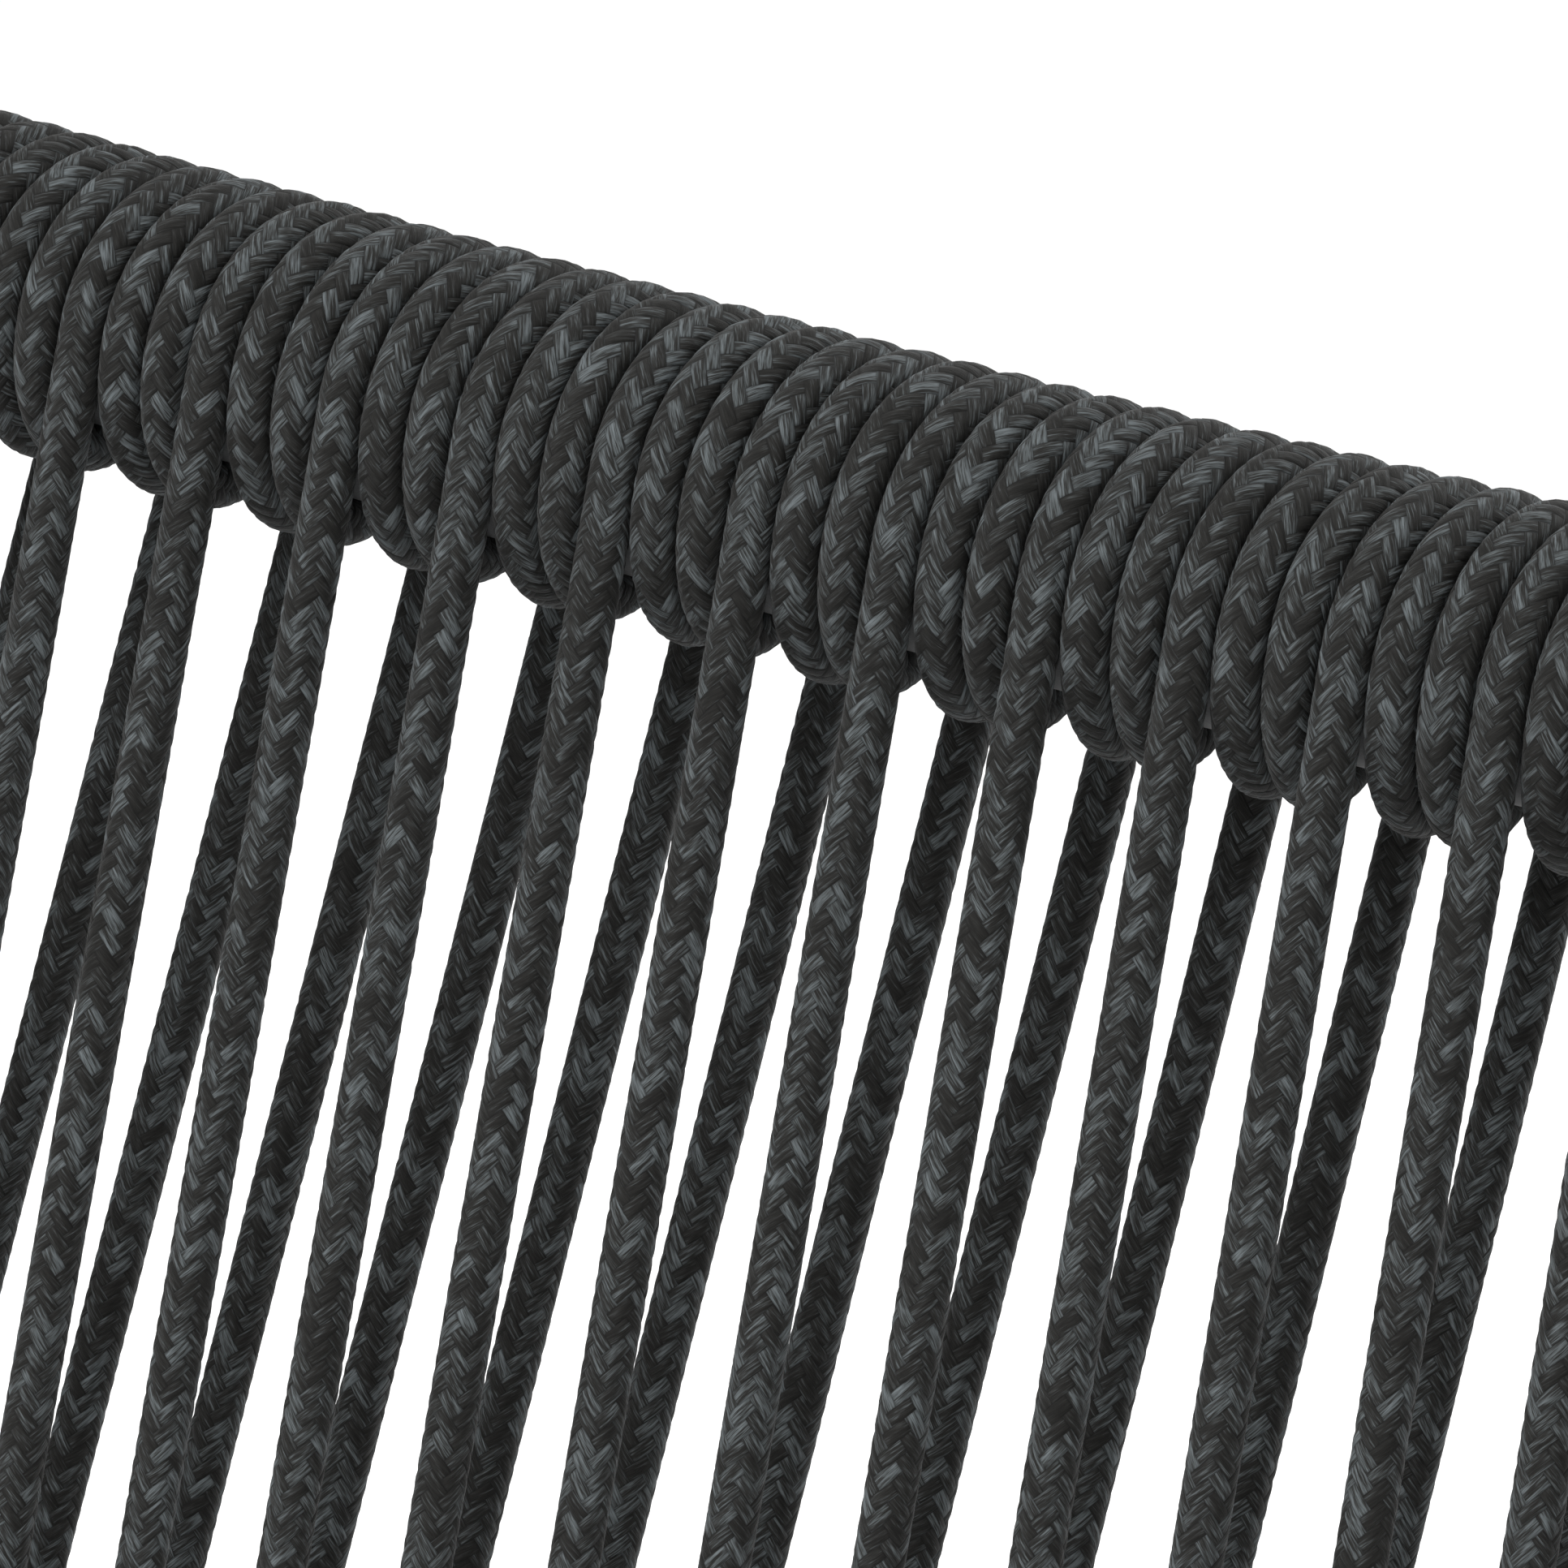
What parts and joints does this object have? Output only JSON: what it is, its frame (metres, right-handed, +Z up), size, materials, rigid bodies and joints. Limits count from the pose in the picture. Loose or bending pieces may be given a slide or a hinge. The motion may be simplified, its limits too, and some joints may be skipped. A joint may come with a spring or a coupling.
{
  "type": "rope-strung panel",
  "caption": "Bolted tube frame with one braided cord wound over two bowed rails to make a double layer of taut upright runs.",
  "frame": {"origin": "on the floor under the middle of the panel, at the bottom centre of its bounding box", "axes": "+X along the rails, -Y towards the panel's front, +Z up"},
  "size_m": [0.7276, 0.07, 0.3209],
  "materials": {
    "cord": "matte",
    "tube": "fine texture matte",
    "casting": "fine texture matte",
    "plug": "machined",
    "stainless": "satin",
    "pad": "matte"
  },
  "bodies": {
    "root": {"top_rail": "tube", "bottom_rail": "tube", "left_post": "tube", "right_post": "tube", "left_elbow": "casting", "right_elbow": "casting", "elbow_screws": "stainless", "left_rail_plug": "plug", "right_rail_plug": "plug", "saddle_washers": "stainless", "rail_bolts": "stainless", "left_base": "casting", "right_base": "casting", "base_grub_screws": "stainless", "left_base_pad": "pad", "right_base_pad": "pad", "cord_top_turns": "cord", "cord_bottom_turns": "cord", "cord_front_runs": "cord", "cord_rear_runs": "cord", "cord_tails": "cord", "cord_start_clip": "stainless", "cord_end_clip": "stainless", "clip_rivets": "stainless"}
  },
  "joints": []
}
